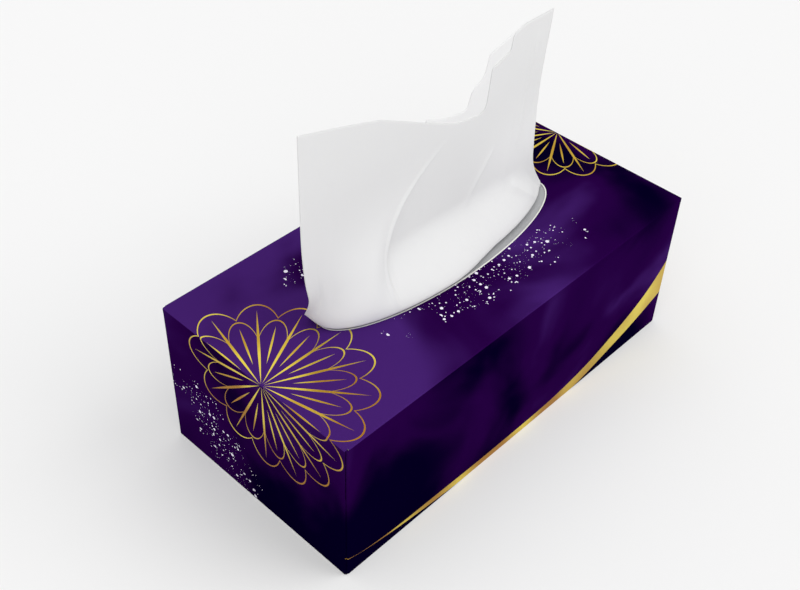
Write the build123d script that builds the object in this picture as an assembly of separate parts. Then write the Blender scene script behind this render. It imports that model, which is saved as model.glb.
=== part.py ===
"""A flat carton of facial tissues with the top sheet standing out of its mouth.

The carton is one paperboard blank, folded and glued. A thin film with a slit is glued under
its oval mouth, a clip of interfolded sheets lies inside, and the top sheet is drawn up
through the slit. Millimetres, +Z up, X along the box, origin at the centre of the base.
"""

import os
from math import cos, exp, pi, sin, sqrt

from build123d import *

# Carton: outside sizes of the closed box, and the board that it is folded from
box_length = 238.0
box_width = 118.0
box_height = 85.0
board = 0.5
fold_radius = 0.7  # outside radius of every fold
edge_gap = 0.15  # free edges of flaps stop this far short of the next fold's bend
panel_stub = 0.3  # flat run of a panel past the tube, before its flap's fold
flap_corner = 5.0  # the cut across the free corners of a flap
dust_flap = 44.0  # reach of the side flaps, the innermost layer of an end
inner_flap = 58.0  # reach of the flap that comes up from the bottom panel
glue_lap = 15.0  # strip that joins the bottom panel to the back one, inside

# Mouth: the oval that is left when the perforated lid is torn out
mouth_length = 152.0
mouth_width = 44.6

# Film glued under the top panel, with a slit that the sheet holds open
film = 0.12
film_margin = 14.0  # glued border round the mouth
film_corner = 8.0
slit_length = 146.0
slit_gape = 7.0

# Clip of interfolded sheets
clip_end_gap = 14.0  # between the clip and the box's ends
clip_side_gap = 6.0  # between the clip's folded edges and the side panels
headroom = 23.0  # from the clip to the underside of the top panel
clip_fold_radius = 5.0

# Top sheet: its outline above the top panel, seen from the front
ply = 0.5  # thickness of the sheet with its crepe
sheet_left = -87.5  # left edge, where it stands straight
sheet_right = 69.0  # where the sheet folds back on itself
sheet_back_end = 18.0  # free edge of the layer that is folded behind
left_ear_height = 106.0
right_ear_height = 102.0
dip_height = 74.0
dip_place = 6.0  # the lowest point of the free edge along X
ear_rise = 26.0  # length along X over which the right ear rises

# Top sheet: how it leaves the slit
slit_clearance = 0.7  # between the sheet and the film's lips
back_neck = 26.0  # free edge of the folded layer, down in the slit
rest_gap = 0.25  # between the sheet and what it lies on
apron_height = 20.0  # the skirt of the sheet over the film ends this far up
foot_height = 2.25  # the skirt's widest place, above the top panel
foot_share = 0.4  # of the skirt's length, from the slit out to its widest place
apron_slack = 1.5  # between the skirt's foot and the mouth's edge
back_apron_share = 0.5  # the folded layer's skirt is this share of the front one
corner_decay = 6.0  # how fast the skirt narrows from the folded edge along the back
wave_depth = 3.5  # of the soft upright waves
wave_length = 62.0

# How finely the sheet is laid out
front_steps = 25
fold_steps = 5
back_steps = 9
skirt_steps = 10
upper_steps = 3
edge_steps = 16

panel_top = box_height
panel_under = box_height - board
end_wall = 3 * board
bend_end = fold_radius + edge_gap
tube_length = box_length - 2 * (2 * board + fold_radius + panel_stub)
side_fold = fold_radius - board / 2  # radius along the middle of the board
straight_lip = (slit_length - slit_gape) / 2
wrap = slit_gape / 2 - slit_clearance - ply  # radius of the fold at the sheet's right edge
top_of_rows = max(left_ear_height, right_ear_height) + 2 * ply


def folded_strip(plane, points, width):
    """Board bent along the middle line given by points, as wide as width across it."""
    with BuildSketch(plane) as section:
        with BuildLine():
            FilletPolyline(*points, radius=side_fold)
        trace(line_width=board)
    return extrude(section.sketch, width / 2, both=True)


def flap_leaf(x_outer, y_low, y_high, z_low, z_high, cut_edges):
    """A flat flap at an end of the box, with its free corners cut."""
    leaf = Pos(x_outer - board / 2, (y_low + y_high) / 2, (z_low + z_high) / 2) * Box(
        board, y_high - y_low, z_high - z_low
    )
    return chamfer(cut_edges(leaf.edges().filter_by(Axis.X)), flap_corner)


def carton_end():
    """The four flaps that close the end at +X, from the innermost layer to the outermost."""
    half_l, half_w, mid = box_length / 2, box_width / 2, board / 2
    start = tube_length / 2
    low, high = bend_end, panel_top - fold_radius
    dust_x, inner_x = half_l - 2 * board, half_l - board
    layers = []

    for side in (-1, 1):
        bend = folded_strip(
            Plane.XY.offset((low + high) / 2),
            [(start, side * (half_w - mid)), (dust_x - mid, side * (half_w - mid)),
             (dust_x - mid, side * (half_w - 4 * fold_radius))],
            high - low,
        )
        near, far = half_w - fold_radius, half_w - dust_flap
        leaf = flap_leaf(
            dust_x, min(side * near, side * far), max(side * near, side * far), low, high,
            lambda edges: edges.sort_by(Axis.Y)[:2] if side > 0 else edges.sort_by(Axis.Y)[-2:],
        )
        layers += [bend, leaf]

    hinge = box_width - 2 * fold_radius
    wide = half_w - bend_end
    layers.append(folded_strip(
        Plane.XZ, [(start, mid), (inner_x - mid, mid), (inner_x - mid, 4 * fold_radius)], hinge))
    layers.append(flap_leaf(inner_x, -wide, wide, fold_radius, inner_flap,
                            lambda edges: edges.sort_by(Axis.Z)[-2:]))
    layers.append(folded_strip(
        Plane.XZ, [(start, panel_top - mid), (half_l - mid, panel_top - mid),
                   (half_l - mid, panel_top - 4 * fold_radius)], hinge))
    layers.append(Pos(half_l - mid, 0, (bend_end + high) / 2) * Box(board, 2 * wide, high - bend_end))
    return layers


def make_carton():
    """The folded and glued blank, with the mouth torn open."""
    half_w, mid = box_width / 2, board / 2
    lap_y = half_w - board - mid
    tube = folded_strip(
        Plane.YZ,
        [(lap_y, board + glue_lap), (lap_y, mid), (mid - half_w, mid), (mid - half_w, panel_top - mid),
         (half_w - mid, panel_top - mid), (half_w - mid, panel_top - 2 * fold_radius)],
        tube_length,
    )
    back_low, back_high = bend_end, panel_top - fold_radius
    tube += Pos(0, half_w - mid, (back_low + back_high) / 2) * Box(
        tube_length, board, back_high - back_low)
    end = carton_end()
    body = tube + end + [mirror(layer, about=Plane.YZ) for layer in end]
    mouth = extrude(Plane.XY.offset(panel_under - board) * Ellipse(mouth_length / 2, mouth_width / 2),
                    3 * board)
    return body - mouth


def make_film():
    """The film under the mouth, with its slit held open by the sheet."""
    with BuildSketch(Plane.XY.offset(panel_under - film)) as outline:
        RectangleRounded(mouth_length + 2 * film_margin, mouth_width + 2 * film_margin, film_corner)
        SlotOverall(slit_length, slit_gape, mode=Mode.SUBTRACT)
    return extrude(outline.sketch, film)


def make_clip():
    """The pile of folded sheets, with its long edges rounded by the folds."""
    height = panel_under - headroom - board
    pile = Pos(0, 0, board + height / 2) * Box(
        box_length - 2 * (end_wall + clip_end_gap),
        box_width - 2 * (board + clip_side_gap),
        height,
    )
    return fillet(pile.edges().filter_by(Axis.X), clip_fold_radius)


def smooth(t):
    """0 to 1 with level ends."""
    t = min(max(t, 0.0), 1.0)
    return t * t * (3 - 2 * t)


def free_edge(x):
    """Height of the front layer's free edge above the panel."""
    fall = min(max((x - sheet_left) / (dip_place - sheet_left), 0.0), 1.0)
    return (left_ear_height + (dip_height - left_ear_height) * fall
            + (right_ear_height - dip_height) * smooth((x - dip_place) / ear_rise))


def rim_reach(x):
    """How far the skirt may reach from the middle line, inside the mouth's edge."""
    inside = max(1 - (2 * x / mouth_length) ** 2, 0.0)
    return max((mouth_width / 2) * sqrt(inside) - apron_slack, 0.0)


def sheet_profile():
    """Height above the top panel and reach of the sheet's rows, from the clip to its free edge."""
    profile = [(rest_gap - board - headroom, 0.0), (-headroom / 2, 0.0), (-board - 2 * ply, 0.0)]
    for step in range(skirt_steps + 1):
        along = step / skirt_steps
        out = smooth(along / foot_share)
        up = max(along - foot_share, 0.0) / (1 - foot_share)
        profile.append((foot_height * out + (apron_height - foot_height) * up, out * (1 - smooth(up))))
    for step in range(1, upper_steps + 1):
        profile.append((apron_height + (top_of_rows - apron_height) * step / upper_steps, 0.0))
    return profile


def sheet_row(height, reach):
    """Points along the middle of the sheet at one height, from its left edge round to its back."""
    spread = 1 - (1 - min(max(height / apron_height, 0.0), 1.0)) ** 3
    wave = wave_depth * smooth((height - apron_height / 2) / ear_rise)
    left = -straight_lip + (sheet_left + straight_lip) * spread
    right = straight_lip + (sheet_right - straight_lip) * spread
    back = back_neck + (sheet_back_end - back_neck) * spread
    out = reach * rim_reach(right)
    z = panel_top + height

    def sway(x):
        return wave * sin(2 * pi * x / wave_length)

    row = []
    for step in range(front_steps):
        x = left + (right - left) * step / (front_steps - 1)
        row.append(Vector(x, sway(x) - wrap - reach * rim_reach(x), z))
    for step in range(1, fold_steps + 1):
        turn = pi * step / (fold_steps + 1)
        row.append(Vector(right + wrap * sin(turn), sway(right) - (wrap + out) * cos(turn), z))
    for step in range(back_steps):
        t = step / (back_steps - 1)
        x = right + (back - right) * t
        skirt = reach * rim_reach(x) * back_apron_share
        corner = out * (1 - back_apron_share) * exp(-corner_decay * t)
        row.append(Vector(x, sway(x) + wrap + skirt + corner, z))
    return row


def ribbon(rows, number):
    """The closed outline of the sheet's thickness along one row, its ends square."""
    row, last = rows[number], len(rows) - 1
    front, rear = [], []
    for step, point in enumerate(row):
        along = row[min(step + 1, len(row) - 1)] - row[max(step - 1, 0)]
        up = Vector(0, 0, 1)
        if 0 < number < last:
            up = rows[number + 1][step] - rows[number - 1][step]
        normal = along.cross(up).normalized() * (ply / 2)
        front.append(point + normal)
        rear.append(point - normal)
    return Wire(Polyline(*front, *rear[::-1], close=True).edges())


def make_sheet():
    """The top sheet: one thin sheet, folded back on itself along its right edge."""
    rows = [sheet_row(height, reach) for height, reach in sheet_profile()]
    sheet = Solid.make_loft([ribbon(rows, number) for number in range(len(rows))], ruled=True)
    far = box_length / 2
    with BuildSketch(Plane.XZ.offset(-box_width / 2)) as above:
        with BuildLine():
            xs = [sheet_left - ply + (sheet_right + wrap - sheet_left + 2 * ply) * k / edge_steps
                  for k in range(edge_steps + 1)]
            edge = Spline([(x, panel_top + free_edge(x)) for x in xs])
            Polyline(edge @ 1, (far, panel_top + dip_height), (far, 2 * top_of_rows),
                     (-far, 2 * top_of_rows), (-far, panel_top + left_ear_height), edge @ 0)
        make_face()
    return sheet - extrude(above.sketch, box_width)


parts = {
    "carton": make_carton(),
    "slit_film": make_film(),
    "tissue_clip": make_clip(),
    "top_sheet": make_sheet(),
}

os.makedirs("parts", exist_ok=True)
for name, part in parts.items():
    export_step(part, f"parts/{name}.step")
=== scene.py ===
"""Looks of a flat carton of facial tissues: its printed board, the film behind the mouth,
the pile of folded sheets inside and the ready sheet that stands out of it. Sizes are in metres."""

from math import acos, cos, pi, sin

import bpy
import numpy as np
from mathutils import Matrix, Vector


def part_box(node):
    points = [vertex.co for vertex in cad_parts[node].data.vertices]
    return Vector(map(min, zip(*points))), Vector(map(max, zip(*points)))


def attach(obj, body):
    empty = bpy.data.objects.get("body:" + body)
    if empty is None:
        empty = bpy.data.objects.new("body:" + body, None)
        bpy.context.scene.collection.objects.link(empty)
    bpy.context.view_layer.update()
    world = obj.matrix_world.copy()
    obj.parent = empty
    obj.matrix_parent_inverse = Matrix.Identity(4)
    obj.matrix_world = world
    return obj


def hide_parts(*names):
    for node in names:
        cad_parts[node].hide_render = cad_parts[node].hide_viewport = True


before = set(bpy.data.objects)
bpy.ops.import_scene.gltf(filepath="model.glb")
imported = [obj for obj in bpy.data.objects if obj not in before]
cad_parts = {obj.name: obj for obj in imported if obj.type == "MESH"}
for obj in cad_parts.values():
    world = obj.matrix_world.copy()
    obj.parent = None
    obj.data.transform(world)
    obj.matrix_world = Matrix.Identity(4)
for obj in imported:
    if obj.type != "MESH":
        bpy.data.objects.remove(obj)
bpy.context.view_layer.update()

bl_info = {
    "name": "Tissue Box",
    "version": (1, 0, 0),
    "blender": (4, 5, 0),
    "location": "View3D > Sidebar > Tissue Box",
    "description": "Dresses a carton of facial tissues with its print, film, pile and ready sheet",
    "category": "Object",
}

MM = 0.001
CARTON_LOW, CARTON_HIGH = (Vector(corner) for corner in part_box("carton"))
PILE_LOW, PILE_HIGH = (Vector(corner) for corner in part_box("tissue_clip"))
PANEL_TOP = CARTON_HIGH.z
HALF_LENGTH = CARTON_HIGH.x
HALF_WIDTH = CARTON_HIGH.y
BOARD = 0.5 * MM
MOUTH_HALF_LENGTH = 76 * MM
MOUTH_HALF_WIDTH = 22.3 * MM


def from_hex(code):
    """Linear RGBA for the shader, from an sRGB hex colour."""
    channels = [int(code[k:k + 2], 16) / 255 for k in (1, 3, 5)]
    linear = [c / 12.92 if c <= 0.04045 else ((c + 0.055) / 1.055) ** 2.4 for c in channels]
    return (*linear, 1.0)


def add_node(tree, kind, inputs=None, **settings):
    """Adds a node to a tree with its settings, and sets or links its inputs by name or number."""
    made = tree.nodes.new(kind)
    for name, value in settings.items():
        setattr(made, name, value)
    for key, value in (inputs or {}).items():
        if isinstance(value, bpy.types.NodeSocket):
            tree.links.new(value, made.inputs[key])
        else:
            made.inputs[key].default_value = value
    return made


def length_property(name, description, default):
    """A length in metres for a panel."""
    return bpy.props.FloatProperty(name=name, description=description, default=default,
                                   subtype="DISTANCE", unit="LENGTH", precision=5)


def colour_property(name, description, code):
    """A colour for a panel, given as sRGB hex."""
    return bpy.props.FloatVectorProperty(name=name, description=description, size=4, min=0, max=1,
                                         subtype="COLOR", default=from_hex(code))


class PrintSettings(bpy.types.PropertyGroup):
    """Colours and sizes of the print on the carton."""

    light_violet: colour_property("Light violet", "Palest cloud of the printed ground", "#42206A")
    mid_violet: colour_property("Mid violet", "Main colour of the printed ground", "#24023E")
    night_blue: colour_property("Night blue", "Darkest cloud of the printed ground", "#04001E")
    foil_dark: colour_property("Dark foil", "Gold foil at its darkest", "#A9761F")
    foil_light: colour_property("Light foil", "Gold foil at its lightest", "#E3CC4E")
    spatter: colour_property("Spatter", "Fine drops over the ground", "#EDE6F7")
    cloud_size: length_property("Cloud size", "Distance between clouds in the ground", 75 * MM)
    bare_board: colour_property("Bare board", "Inside of the carton and its torn edge", "#E8E6E2")
    drop_spacing: length_property("Drop spacing", "Mean distance between drops in a drift", 4.2 * MM)
    line_width: length_property("Line width", "Thickness of a foil line", 0.8 * MM)
    left_fan_radius: length_property("Left fan", "Radius of the foil fan over the left fold", 50 * MM)
    right_fan_radius: length_property("Right fan", "Radius of the foil fan over the right fold", 40 * MM)
    torn_edge: length_property("Torn edge", "White board that shows along the torn mouth", 0.7 * MM)


class PileSettings(bpy.types.PropertyGroup):
    """The pile of folded sheets inside the carton."""

    layers: bpy.props.IntProperty(name="Layers", description="Folded layers in the pile",
                                  default=76, min=2, max=200)
    corner_radius: length_property("Corner radius", "Rounding of the pile's long edges", 5 * MM)
    ragged: length_property("Ragged", "How far a layer may lie back from its neighbours", 0.5 * MM)
    paper: colour_property("Paper", "White of the tissue paper", "#E4E4E4")
    # Painted light: the colour of the paper where the sheet is painted paler
    painted_lit_paper: colour_property("Pale paper", "The paper where light comes through it", "#EEEEEE")


class SheetSettings(bpy.types.PropertyGroup):
    """The ready sheet, drawn up through the slit and folded back on itself at its right."""

    sheet_size: length_property("Sheet size", "Side of the square sheet", 200 * MM)
    ply: length_property("Ply", "Thickness of the two plies with their crepe", 0.25 * MM)
    left_edge: length_property("Left edge", "Free edge at the left, along X", -87 * MM)
    fold_edge: length_property("Fold edge", "Where the sheet folds back, along X", 66 * MM)
    back_top: length_property("Back edge, top", "Side edge of the folded layer at its top, along X",
                              -14 * MM)
    back_foot: length_property("Back edge, foot", "Side edge of the folded layer at its foot, along X",
                               34 * MM)
    ear_flare: length_property("Ear flare", "How far the fold leans out at its top", 4 * MM)
    ridge_depth: length_property("Ridge", "How far the long crease stands forward", 0.7 * MM)


class StageSettings(bpy.types.PropertyGroup):
    """Camera, lights and floor."""

    camera_place: bpy.props.FloatVectorProperty(
        name="Camera place", description="Where the camera stands", subtype="TRANSLATION",
        unit="LENGTH", default=(-0.3270, -0.2752, 0.4407))
    camera_target: bpy.props.FloatVectorProperty(
        name="Camera target", description="What the camera looks at", subtype="TRANSLATION",
        unit="LENGTH", default=(-0.0368, -0.0097, 0.0850))
    camera_roll: bpy.props.FloatProperty(
        name="Camera roll", description="Turn about the line of sight", subtype="ANGLE",
        unit="ROTATION", default=2.235 * pi / 180)
    lens: bpy.props.FloatProperty(
        name="Lens", description="Focal length on a 36 mm sensor, in millimetres", default=52.42)
    key_strength: bpy.props.FloatProperty(
        name="Key light", description="Strength of the soft light from the front right", default=0.92)
    left_strength: bpy.props.FloatProperty(
        name="Left light", description="Strength of the weak light from the left", default=0.6)
    overhead_strength: bpy.props.FloatProperty(
        name="Overhead light", description="Strength of the very soft light from above", default=0.70)
    fill: bpy.props.FloatProperty(
        name="Fill", description="Strength of the even light from all round", default=0.58)
    floor_glow: bpy.props.FloatProperty(
        name="Floor glow", description="Share of the floor's look that no shadow darkens", default=0.24)
    floor: colour_property("Floor", "Colour of the floor", "#F2F2F2")
    backdrop: colour_property("Backdrop", "Colour seen behind the floor", "#F4F4F4")


def new_material(name):
    """A fresh node material: its tree, its shader and its Object coordinates."""
    material = bpy.data.materials.new(name)
    material.use_nodes = True
    tree = material.node_tree
    shader = tree.nodes["Principled BSDF"]
    place = add_node(tree, "ShaderNodeTexCoord").outputs["Object"]
    return material, tree, shader, place


def set_material(obj, material):
    """Gives the whole object one material."""
    for slot in obj.material_slots:
        slot.material = material
    if not obj.material_slots:
        obj.data.materials.append(material)


def seen_directly(tree):
    """1 for what the camera sees, by itself or in metal or glass, and 0 for the light that things get."""
    rays = add_node(tree, "ShaderNodeLightPath").outputs
    direct = add_node(tree, "ShaderNodeMath", {0: rays["Is Camera Ray"], 1: rays["Is Glossy Ray"]},
                      operation="MAXIMUM").outputs[0]
    return add_node(tree, "ShaderNodeMath", {0: direct, 1: rays["Is Transmission Ray"]},
                    operation="MAXIMUM").outputs[0]


def mesh_object(name, vertices, faces, material, rounded=True):
    """A new object at the origin, from plain lists or arrays."""
    mesh = bpy.data.meshes.new(name)
    mesh.from_pydata([tuple(v) for v in vertices], [], [tuple(f) for f in faces])
    mesh.validate()
    if rounded:
        mesh.shade_smooth()
    else:
        mesh.shade_flat()
    mesh.materials.append(material)
    obj = bpy.data.objects.new(name, mesh)
    bpy.context.collection.objects.link(obj)
    return obj


def fan_group():
    """Foil fan: tapered rays inside thin scalloped lines, as 0 to 1 in the plane of its input."""
    tree = bpy.data.node_groups.new("Foil fan", "ShaderNodeTree")
    for name, kind in (("Vector", "NodeSocketVector"), ("Radius", "NodeSocketFloat"),
                       ("Rays", "NodeSocketFloat"), ("Line", "NodeSocketFloat")):
        tree.interface.new_socket(name, in_out="INPUT", socket_type=kind)
    tree.interface.new_socket("Foil", in_out="OUTPUT", socket_type="NodeSocketFloat")
    given = add_node(tree, "NodeGroupInput").outputs
    goes_out = add_node(tree, "NodeGroupOutput")

    reach = add_node(tree, "ShaderNodeVectorMath", {0: given["Vector"]}, operation="LENGTH").outputs["Value"]
    share = add_node(tree, "ShaderNodeMath", {0: reach, 1: given["Radius"]}, operation="DIVIDE").outputs[0]
    turn = add_node(tree, "ShaderNodeTexGradient", {"Vector": given["Vector"]},
                    gradient_type="RADIAL").outputs["Fac"]
    half_line = add_node(tree, "ShaderNodeMath", {0: given["Line"], 1: 0.5}, operation="MULTIPLY").outputs[0]

    foil = None
    # Long rays and short ones between them, and round each set a line that bulges out at its rays.
    # Inner, outer, rim and depth are shares of the radius: where the rays start and end, where
    # the line runs at a ray, and how deep its scallops are
    for phase, inner, outer, bulge, rim, depth in ((0.0, 0.02, 0.93, 1.6, 1.0, 0.17),
                                                   (0.5, 0.26, 0.72, 1.2, 0.80, 0.24)):
        cycles = add_node(tree, "ShaderNodeMath", {0: turn, 1: given["Rays"], 2: phase},
                          operation="MULTIPLY_ADD").outputs[0]
        off_ray = add_node(tree, "ShaderNodeMath", {0: cycles, 1: 0.5}, operation="PINGPONG").outputs[0]
        angle = add_node(tree, "ShaderNodeMath", {0: off_ray, 1: given["Rays"]},
                         operation="DIVIDE").outputs[0]
        across = add_node(tree, "ShaderNodeMath", {0: angle, 1: reach}, operation="MULTIPLY").outputs[0]
        across = add_node(tree, "ShaderNodeMath", {0: across, 1: 2 * pi}, operation="MULTIPLY").outputs[0]
        along = add_node(tree, "ShaderNodeMapRange", {"Value": share, "From Min": inner, "From Max": outer,
                                                      "To Min": 0.0, "To Max": pi}).outputs[0]
        taper = add_node(tree, "ShaderNodeMath", {0: along}, operation="SINE").outputs[0]
        half_ray = add_node(tree, "ShaderNodeMath", {0: taper, 1: half_line}, operation="MULTIPLY").outputs[0]
        half_ray = add_node(tree, "ShaderNodeMath", {0: half_ray, 1: bulge}, operation="MULTIPLY").outputs[0]
        ray = add_node(tree, "ShaderNodeMath", {0: across, 1: half_ray}, operation="LESS_THAN").outputs[0]

        lobe = add_node(tree, "ShaderNodeMath", {0: off_ray, 1: off_ray}, operation="MULTIPLY").outputs[0]
        off = add_node(tree, "ShaderNodeMath", {0: lobe, 1: 4 * depth, 2: share},
                       operation="MULTIPLY_ADD").outputs[0]
        off = add_node(tree, "ShaderNodeMath", {0: off, 1: rim}, operation="SUBTRACT").outputs[0]
        off = add_node(tree, "ShaderNodeMath", {0: off}, operation="ABSOLUTE").outputs[0]
        off = add_node(tree, "ShaderNodeMath", {0: off, 1: given["Radius"]}, operation="MULTIPLY").outputs[0]
        line = add_node(tree, "ShaderNodeMath", {0: off, 1: half_line}, operation="LESS_THAN").outputs[0]
        drawn = add_node(tree, "ShaderNodeMath", {0: ray, 1: line}, operation="MAXIMUM").outputs[0]
        foil = drawn if foil is None else add_node(tree, "ShaderNodeMath", {0: foil, 1: drawn},
                                                   operation="MAXIMUM").outputs[0]
    tree.links.new(foil, goes_out.inputs["Foil"])
    return tree


def unfold(tree, place):
    """The carton's outside laid flat in the plane of its top: the ends and sides hang from their folds."""
    split = add_node(tree, "ShaderNodeSeparateXYZ", {0: place}).outputs
    drop = add_node(tree, "ShaderNodeMath", {0: PANEL_TOP, 1: split["Z"]}, operation="SUBTRACT").outputs[0]
    size = add_node(tree, "ShaderNodeVectorMath", {0: place}, operation="ABSOLUTE").outputs[0]
    depth = add_node(tree, "ShaderNodeVectorMath", {0: (HALF_LENGTH, HALF_WIDTH, 0), 1: size},
                     operation="SUBTRACT").outputs[0]
    depth = add_node(tree, "ShaderNodeSeparateXYZ", {0: depth}).outputs
    # On the top the drop is nil, and below it each place hangs from the nearer fold
    flat = []
    for axis, other in (("X", "Y"), ("Y", "X")):
        nearer = add_node(tree, "ShaderNodeMath", {0: depth[axis], 1: depth[other]},
                          operation="LESS_THAN").outputs[0]
        side = add_node(tree, "ShaderNodeMath", {0: split[axis]}, operation="SIGN").outputs[0]
        step = add_node(tree, "ShaderNodeMath", {0: nearer, 1: side}, operation="MULTIPLY").outputs[0]
        flat.append(add_node(tree, "ShaderNodeMath", {0: step, 1: drop, 2: split[axis]},
                             operation="MULTIPLY_ADD").outputs[0])
    return add_node(tree, "ShaderNodeCombineXYZ", {"X": flat[0], "Y": flat[1]}).outputs[0], split


def printed_board(settings):
    """Paperboard, offset printed and hot foiled: a satin dark ground under thin bright metal lines."""
    material, tree, shader, place = new_material("Printed paperboard")
    flat, split = unfold(tree, place)

    # Soft clouds of ink, paler towards the left of the top panel
    clouds = add_node(tree, "ShaderNodeTexNoise", {
        "Vector": place, "Scale": 1 / settings.cloud_size, "Detail": 3.0, "Roughness": 0.45,
        "Distortion": 0.6}).outputs["Fac"]
    paler = add_node(tree, "ShaderNodeMapRange", {
        "Value": split["X"], "From Min": -HALF_LENGTH, "From Max": HALF_LENGTH,
        "To Min": 0.30, "To Max": -0.03}).outputs[0]
    # The sides are darker than the top instead and darken towards the bottom: partly the print's tone, partly
    # painted shade
    side_shade = add_node(tree, "ShaderNodeMapRange", {
        "Value": split["Z"], "From Min": 0.0, "From Max": PANEL_TOP,
        "To Min": -0.13, "To Max": 0.0}).outputs[0]
    side = add_node(tree, "ShaderNodeMath", {0: split["Z"], 1: PANEL_TOP - BOARD},
                    operation="LESS_THAN").outputs[0]
    shift = add_node(tree, "ShaderNodeMix", {"Factor": side, 2: paler, 3: side_shade},
                     data_type="FLOAT").outputs[0]
    tone = add_node(tree, "ShaderNodeMath", {0: clouds, 1: shift}, operation="ADD").outputs[0]
    ground = add_node(tree, "ShaderNodeValToRGB", {"Fac": tone})
    ramp = ground.color_ramp
    ramp.interpolation = "EASE"
    ramp.elements[0].position, ramp.elements[0].color = 0.30, settings.night_blue
    ramp.elements[1].position, ramp.elements[1].color = 0.72, settings.light_violet
    ramp.elements.new(0.50).color = settings.mid_violet
    colour = ground.outputs["Color"]

    # Fine drops in two sizes, as shares of their spacing
    drops = None
    for spacing, share in ((settings.drop_spacing, 0.24), (0.55 * settings.drop_spacing, 0.2)):
        cells = add_node(tree, "ShaderNodeTexVoronoi", {
            "Vector": flat, "Scale": 1 / spacing, "Randomness": 1.0},
            voronoi_dimensions="2D", feature="F1")
        size = add_node(tree, "ShaderNodeSeparateColor", {0: cells.outputs["Color"]}).outputs[0]
        size = add_node(tree, "ShaderNodeMath", {0: size, 1: 3.0}, operation="POWER").outputs[0]
        radius = add_node(tree, "ShaderNodeMapRange", {
            "Value": size, "To Min": 0.02, "To Max": share}).outputs[0]
        drop = add_node(tree, "ShaderNodeMath", {0: cells.outputs["Distance"], 1: radius},
                        operation="LESS_THAN").outputs[0]
        drops = drop if drops is None else add_node(tree, "ShaderNodeMath", {0: drops, 1: drop},
                                                    operation="MAXIMUM").outputs[0]
    # They lie in drifts: along the near side of the mouth, down the left end, and a small one behind
    drift = None
    for centre, turned, reach in (((6 * MM, -30 * MM, 0), -0.1, (58 * MM, 12 * MM, 1)),
                                  ((-178 * MM, 28 * MM, 0), -0.75, (16 * MM, 36 * MM, 1)),
                                  ((-60 * MM, 36 * MM, 0), 0.3, (10 * MM, 7 * MM, 1))):
        local = add_node(tree, "ShaderNodeMapping", {
            "Vector": flat, "Location": centre, "Rotation": (0, 0, turned), "Scale": reach},
            vector_type="TEXTURE").outputs[0]
        away = add_node(tree, "ShaderNodeVectorMath", {0: local}, operation="LENGTH").outputs["Value"]
        near = add_node(tree, "ShaderNodeMapRange", {"Value": away, "From Min": 0.35, "From Max": 1.25,
                                                     "To Min": 1.0, "To Max": 0.0}).outputs[0]
        drift = near if drift is None else add_node(tree, "ShaderNodeMath", {0: drift, 1: near},
                                                    operation="MAXIMUM").outputs[0]
    patchy = add_node(tree, "ShaderNodeTexWhiteNoise", {
        "Vector": add_node(tree, "ShaderNodeVectorMath", {
            0: flat, 1: (settings.drop_spacing, settings.drop_spacing, 1)}, operation="SNAP").outputs[0]},
        noise_dimensions="2D").outputs["Value"]
    kept = add_node(tree, "ShaderNodeMath", {0: patchy, 1: drift}, operation="LESS_THAN").outputs[0]
    drops = add_node(tree, "ShaderNodeMath", {0: drops, 1: kept}, operation="MULTIPLY").outputs[0]
    colour = add_node(tree, "ShaderNodeMix", {"Factor": drops, 6: colour, 7: settings.spatter},
                      data_type="RGBA").outputs[2]

    # Foil: two fans over the end folds, and a blade that sweeps along the sides and round the right end
    fan = fan_group()
    foil = None
    for centre, radius, rays in (((-HALF_LENGTH, -8.4 * MM, 0), settings.left_fan_radius, 14.0),
                                 ((HALF_LENGTH, 22 * MM, 0), settings.right_fan_radius, 12.0)):
        local = add_node(tree, "ShaderNodeVectorMath", {0: flat, 1: centre}, operation="SUBTRACT").outputs[0]
        drawn = add_node(tree, "ShaderNodeGroup", node_tree=fan)
        tree.links.new(local, drawn.inputs["Vector"])
        drawn.inputs["Radius"].default_value = radius
        drawn.inputs["Rays"].default_value = rays
        drawn.inputs["Line"].default_value = settings.line_width
        foil = drawn.outputs[0] if foil is None else add_node(
            tree, "ShaderNodeMath", {0: foil, 1: drawn.outputs[0]}, operation="MAXIMUM").outputs[0]
    blade = blade_mask(tree, split)
    foil = add_node(tree, "ShaderNodeMath", {0: foil, 1: blade}, operation="MAXIMUM").outputs[0]
    # Light and dark patches of gold over the foil: partly the foil's printed tone, partly painted reflection
    sheen = add_node(tree, "ShaderNodeTexNoise", {
        "Vector": place, "Scale": 1 / (34 * MM), "Detail": 1.0}).outputs["Fac"]
    metal = add_node(tree, "ShaderNodeValToRGB", {"Fac": sheen})
    metal.color_ramp.elements[0].position, metal.color_ramp.elements[0].color = 0.38, settings.foil_dark
    metal.color_ramp.elements[1].position, metal.color_ramp.elements[1].color = 0.62, settings.foil_light
    colour = add_node(tree, "ShaderNodeMix", {"Factor": foil, 6: colour, 7: metal.outputs["Color"]},
                      data_type="RGBA").outputs[2]

    # Bare board: the inside of the carton and the torn edge round the mouth
    outside = outer_mask(tree, place, split, settings.torn_edge)
    colour = add_node(tree, "ShaderNodeMix", {"Factor": outside, 6: settings.bare_board, 7: colour},
                      data_type="RGBA").outputs[2]
    tree.links.new(colour, shader.inputs["Base Color"])
    foil = add_node(tree, "ShaderNodeMath", {0: foil, 1: outside}, operation="MULTIPLY").outputs[0]
    metallic = add_node(tree, "ShaderNodeMath", {0: foil, 1: 0.65}, operation="MULTIPLY").outputs[0]
    tree.links.new(metallic, shader.inputs["Metallic"])
    rough = add_node(tree, "ShaderNodeMapRange", {"Value": foil, "To Min": 0.42, "To Max": 0.3}).outputs[0]
    tree.links.new(rough, shader.inputs["Roughness"])
    shader.inputs["Specular IOR Level"].default_value = 0.0

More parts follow.
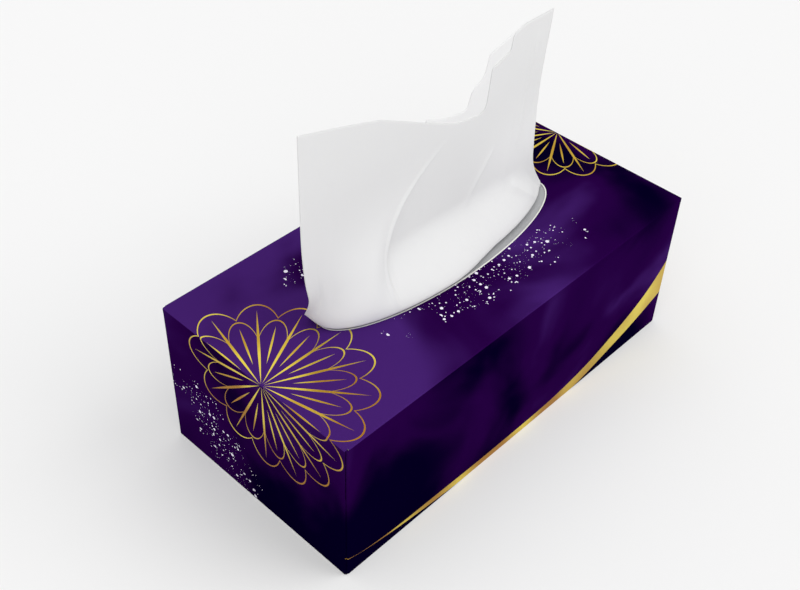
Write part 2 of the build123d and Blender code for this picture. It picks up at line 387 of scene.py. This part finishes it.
    # Board is never quite flat: long faint waves, and the grain of the fibres under the ink
    waves = add_node(tree, "ShaderNodeTexNoise", {
        "Vector": place, "Scale": 1 / (30 * MM), "Detail": 1.0}).outputs["Fac"]
    grain = add_node(tree, "ShaderNodeTexNoise", {
        "Vector": place, "Scale": 1 / (0.9 * MM), "Detail": 2.0}).outputs["Fac"]
    soft = add_node(tree, "ShaderNodeBump", {
        "Height": waves, "Strength": 0.10, "Distance": 0.6 * MM}).outputs[0]
    bump = add_node(tree, "ShaderNodeBump", {"Height": grain, "Normal": soft, "Strength": 0.10,
                                             "Distance": 0.05 * MM}).outputs[0]
    tree.links.new(bump, shader.inputs["Normal"])
    return material


def blade_mask(tree, split):
    """The tapered foil blade: thin at the left of the sides, widening to the right and round that end."""
    across = add_node(tree, "ShaderNodeMapRange", {
        "Value": split["X"], "From Min": -HALF_LENGTH, "From Max": HALF_LENGTH}).outputs[0]
    edges = []
    # Heights of the blade's two edges over the carton's length, as shares of 50 mm
    for heights in (((0.0, 0.25), (0.08, 0.15), (0.26, 0.105), (0.46, 0.09), (0.63, 0.12),
                     (0.81, 0.335), (1.0, 0.92)),
                    ((0.0, 0.24), (0.08, 0.14), (0.26, 0.03), (0.46, -0.02), (0.63, -0.02),
                     (0.81, 0.15), (1.0, 0.46))):
        curve = add_node(tree, "ShaderNodeFloatCurve", {"Value": across})
        points = curve.mapping.curves[0].points
        curve.mapping.use_clip = False
        points[0].location, points[-1].location = heights[0], heights[-1]
        for place in heights[1:-1]:
            points.new(*place)
        curve.mapping.update()
        edges.append(add_node(tree, "ShaderNodeMath", {0: curve.outputs[0], 1: 50 * MM},
                              operation="MULTIPLY").outputs[0])
    under = add_node(tree, "ShaderNodeMath", {0: split["Z"], 1: edges[0]}, operation="LESS_THAN").outputs[0]
    over = add_node(tree, "ShaderNodeMath", {0: split["Z"], 1: edges[1]}, operation="GREATER_THAN").outputs[0]
    both = add_node(tree, "ShaderNodeMath", {0: under, 1: over}, operation="MULTIPLY").outputs[0]
    # The left end stays free of it
    past_left = add_node(tree, "ShaderNodeMath", {0: split["X"], 1: -HALF_LENGTH + 0.3 * MM},
                         operation="GREATER_THAN").outputs[0]
    return add_node(tree, "ShaderNodeMath", {0: both, 1: past_left}, operation="MULTIPLY").outputs[0]


def outer_mask(tree, place, split, torn_edge):
    """1 on the printed outside of the carton, 0 on bare board."""
    half = Vector((HALF_LENGTH, HALF_WIDTH, PANEL_TOP / 2))
    centred = add_node(tree, "ShaderNodeVectorMath", {0: place, 1: (0, 0, PANEL_TOP / 2)},
                       operation="SUBTRACT").outputs[0]
    size = add_node(tree, "ShaderNodeVectorMath", {0: centred}, operation="ABSOLUTE").outputs[0]
    depth = add_node(tree, "ShaderNodeVectorMath", {0: size, 1: tuple(half)}, operation="SUBTRACT").outputs[0]
    parts = add_node(tree, "ShaderNodeSeparateXYZ", {0: depth}).outputs
    nearest = add_node(tree, "ShaderNodeMath", {0: parts[0], 1: parts[1]}, operation="MAXIMUM").outputs[0]
    nearest = add_node(tree, "ShaderNodeMath", {0: nearest, 1: parts[2]}, operation="MAXIMUM").outputs[0]
    outside = add_node(tree, "ShaderNodeMath", {0: nearest, 1: -0.7 * BOARD},
                       operation="GREATER_THAN").outputs[0]
    # Where the end flaps meet the sides, the print shows in the narrow gap between them
    corner = add_node(tree, "ShaderNodeMath", {0: parts[0], 1: parts[1]}, operation="MINIMUM").outputs[0]
    corner = add_node(tree, "ShaderNodeMath", {0: corner, 1: -1.9 * MM}, operation="GREATER_THAN").outputs[0]
    outside = add_node(tree, "ShaderNodeMath", {0: outside, 1: corner}, operation="MAXIMUM").outputs[0]
    # The mouth: an ellipse in the top panel, bare from its edge to a little way out
    local = add_node(tree, "ShaderNodeVectorMath", {
        0: place, 1: (1 / (MOUTH_HALF_LENGTH + torn_edge), 1 / (MOUTH_HALF_WIDTH + torn_edge), 0)},
        operation="MULTIPLY").outputs[0]
    away = add_node(tree, "ShaderNodeVectorMath", {0: local}, operation="LENGTH").outputs["Value"]
    clear = add_node(tree, "ShaderNodeMath", {0: away, 1: 1.0}, operation="GREATER_THAN").outputs[0]
    low = add_node(tree, "ShaderNodeMath", {0: split["Z"], 1: 0.5 * PANEL_TOP},
                   operation="LESS_THAN").outputs[0]
    clear = add_node(tree, "ShaderNodeMath", {0: clear, 1: low}, operation="MAXIMUM").outputs[0]
    return add_node(tree, "ShaderNodeMath", {0: outside, 1: clear}, operation="MULTIPLY").outputs[0]


def frosted_film():
    """Polyethylene film, blown thin: milky, soft and faintly wrinkled round the slit."""
    material, tree, shader, place = new_material("Frosted film")
    # Its grey is partly painted shade: the milky film darkened to how it looks in the shade under the sheet
    shader.inputs["Base Color"].default_value = from_hex("#B9BABC")
    shader.inputs["Roughness"].default_value = 0.32
    shader.inputs["IOR"].default_value = 1.51
    shader.inputs["Transmission Weight"].default_value = 0.25
    stretched = add_node(tree, "ShaderNodeMapping", {"Vector": place, "Scale": (0.25, 1.0, 1.0)}).outputs[0]
    wrinkles = add_node(tree, "ShaderNodeTexNoise", {
        "Vector": stretched, "Scale": 1 / (5 * MM), "Detail": 2.0}).outputs["Fac"]
    bump = add_node(tree, "ShaderNodeBump", {
        "Height": wrinkles, "Strength": 0.35, "Distance": 0.6 * MM}).outputs[0]
    tree.links.new(bump, shader.inputs["Normal"])
    return material


def tissue_paper(colour, pale):
    """Creped two-ply tissue: matt white fibres with fine cross ridges and a soft sheen."""
    material, tree, shader, place = new_material("Creped tissue")
    # The sheet is painted paler where light would come through it, and in its hollow and at the skirt's left
    # end: painted light
    lit = add_node(tree, "ShaderNodeAttribute", attribute_name="painted_light").outputs["Fac"]
    tint = add_node(tree, "ShaderNodeMix", {"Factor": lit, 6: colour, 7: pale}, data_type="RGBA").outputs[2]
    tree.links.new(tint, shader.inputs["Base Color"])
    shader.inputs["Roughness"].default_value = 0.9
    shader.inputs["IOR"].default_value = 1.47
    shader.inputs["Specular IOR Level"].default_value = 0.15
    shader.inputs["Sheen Weight"].default_value = 0.15
    shader.inputs["Sheen Roughness"].default_value = 0.6
    # Crepe ridges lie across the sheet, about 0.4 mm apart, drawn at 1.1 mm so that they show
    ridged = add_node(tree, "ShaderNodeMapping", {"Vector": place, "Scale": (0.16, 0.16, 1.0)}).outputs[0]
    crepe = add_node(tree, "ShaderNodeTexNoise", {"Vector": ridged, "Scale": 1 / (1.1 * MM), "Detail": 3.0,
                                                  "Roughness": 0.6}).outputs["Fac"]
    soft = add_node(tree, "ShaderNodeTexNoise", {
        "Vector": place, "Scale": 1 / (9 * MM), "Detail": 3.0}).outputs["Fac"]
    first = add_node(tree, "ShaderNodeBump", {
        "Height": soft, "Strength": 0.18, "Distance": 1.0 * MM}).outputs[0]
    bump = add_node(tree, "ShaderNodeBump", {"Height": crepe, "Normal": first, "Strength": 0.22,
                                             "Distance": 0.18 * MM}).outputs[0]
    tree.links.new(bump, shader.inputs["Normal"])
    return material


def pile_tree(material):
    """Geometry nodes for the pile: thin layers one over another, drawn in at the rounded long edges."""
    tree = bpy.data.node_groups.new("Pile of folded sheets", "GeometryNodeTree")
    tree.is_modifier = True
    tree.interface.new_socket("Geometry", in_out="INPUT", socket_type="NodeSocketGeometry")
    tree.interface.new_socket("Layers", in_out="INPUT", socket_type="NodeSocketInt")
    for name in ("Length", "Width", "Height", "Foot", "Corner Radius", "Ragged"):
        tree.interface.new_socket(name, in_out="INPUT", socket_type="NodeSocketFloat")
    tree.interface.new_socket("Geometry", in_out="OUTPUT", socket_type="NodeSocketGeometry")
    given = add_node(tree, "NodeGroupInput").outputs
    goes_out = add_node(tree, "NodeGroupOutput")

    pitch = add_node(tree, "ShaderNodeMath", {0: given["Height"], 1: given["Layers"]},
                     operation="DIVIDE").outputs[0]
    leaf_size = add_node(tree, "ShaderNodeCombineXYZ", {
        "X": given["Length"], "Y": given["Width"], "Z": pitch}).outputs[0]
    leaf = add_node(tree, "GeometryNodeMeshCube", {"Size": leaf_size, "Vertices Y": 5}).outputs["Mesh"]
    first = add_node(tree, "ShaderNodeMath", {0: pitch, 1: 0.5, 2: given["Foot"]},
                     operation="MULTIPLY_ADD").outputs[0]
    start = add_node(tree, "ShaderNodeCombineXYZ", {"Z": first}).outputs[0]
    step = add_node(tree, "ShaderNodeCombineXYZ", {"Z": pitch}).outputs[0]
    line = add_node(tree, "GeometryNodeMeshLine", {"Count": given["Layers"], "Start Location": start,
                                                   "Offset": step}).outputs[0]

    # How deep each layer lies in the rounded edge, and how far that draws it in
    place = add_node(tree, "GeometryNodeInputPosition").outputs[0]
    height = add_node(tree, "ShaderNodeSeparateXYZ", {0: place}).outputs["Z"]
    above = add_node(tree, "ShaderNodeMath", {0: height, 1: given["Foot"]}, operation="SUBTRACT").outputs[0]
    below = add_node(tree, "ShaderNodeMath", {0: given["Height"], 1: above},
                     operation="SUBTRACT").outputs[0]
    edge = add_node(tree, "ShaderNodeMath", {0: above, 1: below}, operation="MINIMUM").outputs[0]
    into = add_node(tree, "ShaderNodeMath", {0: given["Corner Radius"], 1: edge},
                    operation="SUBTRACT").outputs[0]
    into = add_node(tree, "ShaderNodeMath", {0: into, 1: 0.0}, operation="MAXIMUM").outputs[0]
    sine = add_node(tree, "ShaderNodeMath", {0: into, 1: given["Corner Radius"]},
                    operation="DIVIDE").outputs[0]
    turn = add_node(tree, "ShaderNodeMath", {0: sine}, operation="ARCSINE").outputs[0]
    cosine = add_node(tree, "ShaderNodeMath", {0: turn}, operation="COSINE").outputs[0]
    drawn_in = add_node(tree, "ShaderNodeMath", {0: 1.0, 1: cosine}, operation="SUBTRACT").outputs[0]
    drawn_in = add_node(tree, "ShaderNodeMath", {0: drawn_in, 1: given["Corner Radius"]},
                        operation="MULTIPLY").outputs[0]
    ragged = add_node(tree, "FunctionNodeRandomValue", {"Min": 0.0, 3: given["Ragged"], "Seed": 11},
                      data_type="FLOAT").outputs[1]
    inset = add_node(tree, "ShaderNodeMath", {0: drawn_in, 1: ragged}, operation="ADD").outputs[0]
    scales = []
    for size, margin in (("Length", ragged), ("Width", inset)):
        lost = add_node(tree, "ShaderNodeMath", {0: margin, 1: 2.0}, operation="MULTIPLY").outputs[0]
        kept = add_node(tree, "ShaderNodeMath", {0: given[size], 1: lost}, operation="SUBTRACT").outputs[0]
        scales.append(add_node(tree, "ShaderNodeMath", {0: kept, 1: given[size]},
                               operation="DIVIDE").outputs[0])
    scale = add_node(tree, "ShaderNodeCombineXYZ", {"X": scales[0], "Y": scales[1], "Z": 0.9}).outputs[0]
    layers = add_node(tree, "GeometryNodeInstanceOnPoints", {
        "Points": line, "Instance": leaf, "Scale": scale}).outputs[0]
    real = add_node(tree, "GeometryNodeRealizeInstances", {0: layers}).outputs[0]
    painted = add_node(tree, "GeometryNodeSetMaterial", {"Geometry": real, "Material": material}).outputs[0]
    tree.links.new(painted, goes_out.inputs["Geometry"])
    return tree


def baked(name, tree, values):
    """Runs a geometry tree with the given inputs and returns its result as a plain mesh object."""
    host = bpy.data.objects.new(name, bpy.data.meshes.new(name))
    bpy.context.collection.objects.link(host)
    modifier = host.modifiers.new("Build", "NODES")
    modifier.node_group = tree
    sockets = {item.name: item.identifier for item in tree.interface.items_tree if item.in_out == "INPUT"}
    for key, value in values.items():
        modifier[sockets[key]] = value
    depsgraph = bpy.context.evaluated_depsgraph_get()
    mesh = bpy.data.meshes.new_from_object(host.evaluated_get(depsgraph))
    host.modifiers.remove(modifier)
    host.data = mesh
    mesh.name = name
    return host


def smooth(t):
    """0 to 1 with level ends."""
    t = np.clip(t, 0.0, 1.0)
    return t * t * (3 - 2 * t)


def along(path, shares):
    """Points of a path of straight runs, at shares of its length."""
    path = np.array(path)
    run = np.hypot(*np.diff(path, axis=0).T)
    far = np.concatenate([[0.0], np.cumsum(run)])
    return np.column_stack([np.interp(shares * far[-1], far, path[:, axis]) for axis in (0, 1)])


def arc(centre, radii, start, end, steps=24):
    """Points on part of an ellipse, as (x, y)."""
    turns = np.linspace(start, end, steps)
    return [(centre[0] + radii[0] * cos(t), centre[1] + radii[1] * sin(t)) for t in turns]


# The ready sheet's hold: the slit in the film, the skirt over it and the tail on the pile
SLIT_HALF = 69.5 * MM
WRAP = 2.3 * MM
CURL = 9 * MM
SKIRT_TOP = 25 * MM
SKIRT_FOOT = 1.4 * MM
FOOT_SHARE = 0.36
LEFT_WRAP = 0.42
STEEP_TOP = 55 * MM
CREASE_WIDTH = 18 * MM
SPREAD_HEIGHT = 9.5 * MM
RIM_OVERHANG = 0.7 * MM
RIGHT_RIM_GAP = 3.6 * MM
BACK_SHARE = 0.55
BACK_RISE = 76 * MM
TAIL_BEND = 6 * MM
TAIL_RUN = 46 * MM
TAIL_HALF_GAP = 0.5 * MM
EAR_HALF_GAP = 0.135 * MM
SWAY = 2.0 * MM
SWAY_LENGTH = 150 * MM
CREST_LEFT = -46 * MM
CREST_FOOT = 8 * MM
CREST_RUN = 40 * MM
CREST_RISE = 52 * MM

# Corners of its free edges: places along X and heights over the top panel, in millimetres
FRONT_OUTLINE = ((-87, 105.8), (-61, 97.2), (-40, 90.6), (-20, 81), (-4, 73.4), (5, 69.8), (19, 68),
                 (22.5, 69), (24.3, 73), (25.4, 89), (38.2, 93), (39.2, 100.3), (48.5, 102.2), (70, 100.8))
BACK_OUTLINE = ((-20, 81.5), (-3, 75.4), (9, 74.2), (11.5, 75.2), (12.5, 81), (15.5, 84), (19.5, 86.2),
                (21.5, 89), (23, 96.8), (39, 100.9), (48.5, 102.4), (70, 100.8))


def free_edge(outline, x):
    """Height of a layer's free edge over the top panel, with the corners of its outline eased."""
    places, heights = np.array(outline).T * MM
    shifts = np.linspace(-0.5, 0.5, 5) * MM
    return np.mean([np.interp(x + shift, places, heights) for shift in shifts], axis=0)


def crest_place(h):
    """Where the long crease lies along X at a height over the top panel."""
    return CREST_LEFT + CREST_RUN * (np.maximum(h - CREST_FOOT, 0) / CREST_RISE) ** 1.88


def relief(settings, x, h):
    """How far the front layer stands forward of its plane: the long crease, its valley and the pleats."""
    off = x - crest_place(h)
    fade = smooth((h + 2 * MM) / (16 * MM)) * (1 - smooth((h - 36 * MM) / (32 * MM)))
    left_side = np.exp(-(np.abs(off) / (18 * MM)) ** 1.5)
    right_side = (1.3 * np.exp(-(np.abs(off) / (8 * MM)) ** 1.5)
                  - 0.3 * np.exp(-((off - 14 * MM) / (20 * MM)) ** 2))
    soft = smooth(off / (2.4 * MM) + 0.5)
    total = settings.ridge_depth * fade * (left_side * (1 - soft) + right_side * soft)
    # Its crest is pinched to a narrow lip
    total = total + 0.95 * MM * fade * np.exp(-(off / (1.2 * MM)) ** 2)
    # A short faint crease right of it, the pleats that run up the right ear, and the pinch at its foot:
    # the place and height of each one's foot and top, its depth and its half width, in millimetres
    for foot_x, foot_h, top_x, top_h, depth, width in (
            (14, 20, 31, 43, 0.5, 1.4), (51, 38, 57.5, 92, 0.7, 1.3), (42, 20, 47, 60, 0.3, 3.0),
            (60, 25, 62, 92, 0.35, 2.5), (47, 16, 60, 5, 1.1, 2.6)):
        run = np.array([top_x - foot_x, top_h - foot_h]) * MM
        reach = np.hypot(*run)
        share = ((x - foot_x * MM) * run[0] + (h - foot_h * MM) * run[1]) / reach ** 2
        side = ((x - foot_x * MM) * run[1] - (h - foot_h * MM) * run[0]) / reach
        ends = smooth(share / 0.25 + 0.5) * (1 - smooth((share - 0.85) / 0.3))
        total = total + depth * MM * ends * np.exp(-(np.abs(side) / (width * MM)) ** 1.5)
    return total


def sheet_shares():
    """Where the columns lie: 0 at the left free edge, 1 at the fold, 2 at the folded layer's edge."""
    return np.concatenate([np.linspace(0, 1, 240), np.linspace(1, 2, 81)[1:]])


def painted_light(points):
    """How much the sheet is painted paler, most in the folded layer, the hollow and the skirt's left end:
    painted light for the light that would come through the single layer, and painted light over the shade in
    the hollow and at the foot.
    """
    x, height = points[..., 0], points[..., 2] - PANEL_TOP
    folded = smooth((sheet_shares() - 1) / 0.3)
    hollow = smooth((x - 5 * MM) / (40 * MM)) * np.exp(-((height - 36 * MM) / (20 * MM)) ** 2)
    left_end = (1 - smooth((x + 66 * MM) / (26 * MM))) * (1 - smooth((height - 4 * MM) / (18 * MM)))
    return np.maximum(folded, np.maximum(hollow, left_end))


def sheet_grid(settings):
    """Points over the middle of the ready sheet: columns round it from its left free edge, rows upwards."""
    tail_rows, skirt_rows, upper_rows = 20, 32, 80
    fold, left = settings.fold_edge, settings.left_edge
    shares = sheet_shares()
    front = shares <= 1
    ahead, behind = np.minimum(shares, 1), np.maximum(shares - 1, 0)

    # Plans of the sheet in the slit and at the skirt's foot, each from the left free edge round the fold
    def plan(path_ahead, path_behind):
        return np.where(front[:, None], along(path_ahead, ahead), along(path_behind, behind))

    neck = plan(
        [(-SLIT_HALF + CURL, WRAP)] + arc((-SLIT_HALF, 0), (WRAP, WRAP), pi / 2, 3 * pi / 2)
        + arc((SLIT_HALF, 0), (WRAP, WRAP), -pi / 2, 0),
        arc((SLIT_HALF, 0), (WRAP, WRAP), 0, pi / 2) + [(settings.back_foot, WRAP)])
    rim = (MOUTH_HALF_LENGTH + RIM_OVERHANG, MOUTH_HALF_WIDTH + RIM_OVERHANG)
    foot = plan(
        arc((0, 0), rim, pi - LEFT_WRAP, 2 * pi, 160),
        arc((0, 0), (rim[0], rim[1] * BACK_SHARE), 0, acos(settings.back_foot / rim[0]), 60))
    draw_back = (RIGHT_RIM_GAP + RIM_OVERHANG) * smooth((foot[:, 0] + 15 * MM) / (40 * MM))
    around = np.clip(-foot[:, 1] / (8 * MM), -1, 1)
    foot[:, 1] += draw_back * np.maximum(around, 0)

    def upright(height):
        """Where the columns stand along X: the folded layer's side edge slants up to the left."""
        back = settings.back_foot + (settings.back_top - settings.back_foot) * smooth(height / BACK_RISE)
        return np.where(front, left + (fold - left) * ahead, fold + (back - fold) * behind)

    lean = settings.ear_flare * smooth(1 - 4 * np.abs(shares - 1))
    top_x = upright(BACK_RISE) + lean
    edge = np.where(front, free_edge(FRONT_OUTLINE, top_x), free_edge(BACK_OUTLINE, top_x))

    rows = []
    for k in range(skirt_rows + 1):
        out = smooth(k / skirt_rows / FOOT_SHARE)
        up = max(k / skirt_rows - FOOT_SHARE, 0) / (1 - FOOT_SHARE)
        height = np.full(len(shares), SKIRT_FOOT * out + (SKIRT_TOP - SKIRT_FOOT) * up ** 1.15)
        rows.append((height, float(out), float(out * (1 - smooth(up)) ** 1.25)))
    for k in range(1, upper_rows + 1):
        rows.append((SKIRT_TOP + (edge - SKIRT_TOP) * k / upper_rows, 1.0, 0.0))

    # The tail hangs from the slit, bends forward and lies on the pile with its two layers together
    points = []
    drop = PANEL_TOP - PILE_HIGH.z - 2 * TAIL_HALF_GAP
    straight, bend = drop - TAIL_BEND, TAIL_BEND * pi / 2
    for k in range(tail_rows):
        far = (straight + bend + TAIL_RUN) * (1 - k / tail_rows)
        turn = np.clip((far - straight) / TAIL_BEND, 0, pi / 2)
        past = max(far - straight - bend, 0.0)
        y = -TAIL_BEND * (1 - np.cos(turn)) - past
        z = PANEL_TOP - min(far, straight) - TAIL_BEND * np.sin(turn)
        closing = 1 - (1 - TAIL_HALF_GAP / WRAP) * smooth(far / (straight + bend))
        off = neck[:, 1] * closing
        points.append(np.column_stack([neck[:, 0], y + off * np.cos(turn), z - off * np.sin(turn)]))

    for height, out, reach in rows:
        # Above the skirt the two layers lie flat together
        gap = WRAP + (EAR_HALF_GAP - WRAP) * smooth(height / (60 * MM))
        x_upper = upright(height)
        near_fold = np.clip(1 - (fold - x_upper) / (2 * gap), 0, 1)
        y_upper = np.where(front, -1, 1) * gap * np.sqrt(1 - near_fold ** 2)
        upper = np.column_stack([x_upper, y_upper])
        spread = 1 - np.exp(-np.maximum(height, 0) / SPREAD_HEIGHT)
        xy = neck + reach * (foot - neck) + spread[:, None] * (upper - neck)
        # Left of the long crease the sheet stands steeper, so its skirt reaches further up
        steep = out * (1 - smooth((height - SKIRT_FOOT) / STEEP_TOP)) ** 2.2
        left_part = np.where(front, 1 - smooth((x_upper - crest_place(height)) / CREASE_WIDTH + 0.55), 0)
        xy[:, 1] += np.maximum(steep - reach, 0) * left_part * np.minimum((foot - neck)[:, 1], 0)
        xy[:, 0] += lean * smooth((height - 60 * MM) / (45 * MM))
        forward = relief(settings, xy[:, 0], height) * smooth(height / (6 * MM))
        xy[:, 1] -= np.where(front, forward * smooth((1 - shares) / 0.03), 0)
        # Slow bends of the whole sheet, the same in both layers
        bend_at = (xy[:, 0] - left) / SWAY_LENGTH
        xy[:, 1] += SWAY * np.sin(2 * pi * bend_at) * smooth((height - 12 * MM) / (45 * MM))
        points.append(np.column_stack([xy, PANEL_TOP + height]))
    return np.array(points)


class TISSUEBOX_OT_print(bpy.types.Operator):
    """Prints the carton: clouded ground, spatter, foil and bare torn edges"""

    bl_idname = "tissuebox.print_carton"
    bl_label = "Print the carton"

    def execute(self, context):
        set_material(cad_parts["carton"], printed_board(context.scene.tissuebox_print))
        return {"FINISHED"}


class TISSUEBOX_OT_film(bpy.types.Operator):
    """Frosts the film behind the mouth"""

    bl_idname = "tissuebox.frost_film"
    bl_label = "Frost the film"

    def execute(self, context):
        set_material(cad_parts["slit_film"], frosted_film())
        return {"FINISHED"}


class TISSUEBOX_OT_pile(bpy.types.Operator):
    """Lays the pile of folded sheets in the carton, layer by layer"""

    bl_idname = "tissuebox.lay_pile"
    bl_label = "Lay the pile"

    def execute(self, context):
        settings = context.scene.tissuebox_pile
        paper = tissue_paper(settings.paper, settings.painted_lit_paper)
        size = PILE_HIGH - PILE_LOW
        pile = baked("sheet_pile", pile_tree(paper), {
            "Layers": settings.layers, "Length": size.x, "Width": size.y, "Height": size.z,
            "Foot": PILE_LOW.z, "Corner Radius": settings.corner_radius, "Ragged": settings.ragged})
        pile.data.shade_flat()
        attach(pile, "root")
        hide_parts("tissue_clip")
        return {"FINISHED"}


class TISSUEBOX_OT_sheet(bpy.types.Operator):
    """Stands the ready sheet in the slit, with its skirt, long crease and folded ear"""

    bl_idname = "tissuebox.stand_sheet"
    bl_label = "Stand the ready sheet"

    def execute(self, context):
        settings = context.scene.tissuebox_sheet
        points = sheet_grid(settings)
        rows, columns = points.shape[:2]
        index = np.arange(rows * columns).reshape(rows, columns)
        faces = np.stack([index[:-1, :-1], index[:-1, 1:], index[1:, 1:], index[1:, :-1]], axis=-1)
        paper = context.scene.tissuebox_pile
        sheet = mesh_object("ready_sheet", points.reshape(-1, 3), faces.reshape(-1, 4),
                            tissue_paper(paper.paper, paper.painted_lit_paper))
        # Painted light: how much paler each point of the sheet is painted
        lit = sheet.data.attributes.new("painted_light", "FLOAT", "POINT")
        lit.data.foreach_set("value", painted_light(points).ravel().astype(np.float32))
        thicken = sheet.modifiers.new("Ply", "SOLIDIFY")
        thicken.thickness = settings.ply
        thicken.offset = 0.0
        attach(sheet, "root")
        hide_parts("top_sheet")
        return {"FINISHED"}


class TISSUEBOX_OT_stage(bpy.types.Operator):
    """Sets the camera, the soft lights and the pale floor"""

    bl_idname = "tissuebox.set_stage"
    bl_label = "Set the stage"

    def execute(self, context):
        settings = context.scene.tissuebox_stage
        scene = context.scene
        scene.view_settings.view_transform = "Standard"

        camera = bpy.data.objects.new("Camera", bpy.data.cameras.new("Camera"))
        scene.collection.objects.link(camera)
        camera.data.lens = settings.lens
        camera.data.sensor_width = 36.0
        camera.data.clip_start = 0.01
        place = Vector(settings.camera_place)
        aim = (Vector(settings.camera_target) - place).to_track_quat("-Z", "Y").to_matrix().to_4x4()
        camera.matrix_world = Matrix.Translation(place) @ aim @ Matrix.Rotation(settings.camera_roll, 4, "Z")
        scene.camera = camera

        for name, where, spread, strength in (
                ("Key light", (0.75, -0.80, 1.00), 45, settings.key_strength),
                ("Left light", (-0.90, -0.60, 0.45), 60, settings.left_strength),
                ("Overhead light", (0.0, 0.0, 1.0), 80, settings.overhead_strength)):
            lamp = bpy.data.objects.new(name, bpy.data.lights.new(name, "SUN"))
            scene.collection.objects.link(lamp)
            lamp.data.energy = strength
            lamp.data.angle = spread * pi / 180
            lamp.matrix_world = (-Vector(where)).to_track_quat("-Z", "Y").to_matrix().to_4x4()

        world = bpy.data.worlds.new("Studio")
        world.use_nodes = True
        scene.world = world
        tree = world.node_tree
        light = tree.nodes["Background"]
        light.inputs["Color"].default_value = (1, 1, 1, 1)
        light.inputs["Strength"].default_value = settings.fill
        seen = add_node(tree, "ShaderNodeBackground", {"Color": settings.backdrop, "Strength": 1.0})
        mixed = add_node(tree, "ShaderNodeMixShader", {
            0: seen_directly(tree), 1: light.outputs[0], 2: seen.outputs[0]})
        tree.links.new(mixed.outputs[0], tree.nodes["World Output"].inputs["Surface"])

        half = 3.0
        material, tree, shader, _ = new_material("Painted floor")
        shader.inputs["Base Color"].default_value = settings.floor
        shader.inputs["Roughness"].default_value = 1.0
        shader.inputs["Specular IOR Level"].default_value = 0.0
        glow = add_node(tree, "ShaderNodeEmission", {"Color": settings.backdrop, "Strength": 1.0}).outputs[0]
        share = add_node(tree, "ShaderNodeMath", {0: seen_directly(tree), 1: settings.floor_glow},
                         operation="MULTIPLY").outputs[0]
        mixed = add_node(tree, "ShaderNodeMixShader", {0: share, 1: shader.outputs[0], 2: glow})
        tree.links.new(mixed.outputs[0], tree.nodes["Material Output"].inputs["Surface"])
        floor = mesh_object("Floor", [(-half, -half, 0), (half, -half, 0), (half, half, 0), (-half, half, 0)],
                            [(0, 1, 2, 3)], material, rounded=False)
        return {"FINISHED"}


SETTINGS = {"tissuebox_print": PrintSettings, "tissuebox_pile": PileSettings,
            "tissuebox_sheet": SheetSettings, "tissuebox_stage": StageSettings}
OPERATORS = (TISSUEBOX_OT_print, TISSUEBOX_OT_film, TISSUEBOX_OT_pile, TISSUEBOX_OT_sheet, TISSUEBOX_OT_stage)


class TISSUEBOX_PT_panel(bpy.types.Panel):
    """Lists the pieces of the tissue box with their sizes and colours"""

    bl_label = "Tissue Box"
    bl_idname = "TISSUEBOX_PT_panel"
    bl_space_type = "VIEW_3D"
    bl_region_type = "UI"
    bl_category = "Tissue Box"

    def draw(self, context):
        for name in SETTINGS:
            group = getattr(context.scene, name)
            box = self.layout.box()
            for key in group.__annotations__:
                box.prop(group, key)
        for operator in OPERATORS:
            self.layout.operator(operator.bl_idname)


def register():
    for name, group in SETTINGS.items():
        bpy.utils.register_class(group)
        setattr(bpy.types.Scene, name, bpy.props.PointerProperty(type=group))
    for operator in OPERATORS:
        bpy.utils.register_class(operator)
    bpy.utils.register_class(TISSUEBOX_PT_panel)


def unregister():
    bpy.utils.unregister_class(TISSUEBOX_PT_panel)
    for operator in reversed(OPERATORS):
        bpy.utils.unregister_class(operator)
    for name, group in SETTINGS.items():
        delattr(bpy.types.Scene, name)
        bpy.utils.unregister_class(group)


def main():
    register()
    bpy.ops.tissuebox.set_stage()
    bpy.ops.tissuebox.print_carton()
    bpy.ops.tissuebox.frost_film()
    bpy.ops.tissuebox.lay_pile()
    bpy.ops.tissuebox.stand_sheet()


if __name__ == "__main__":
    main()
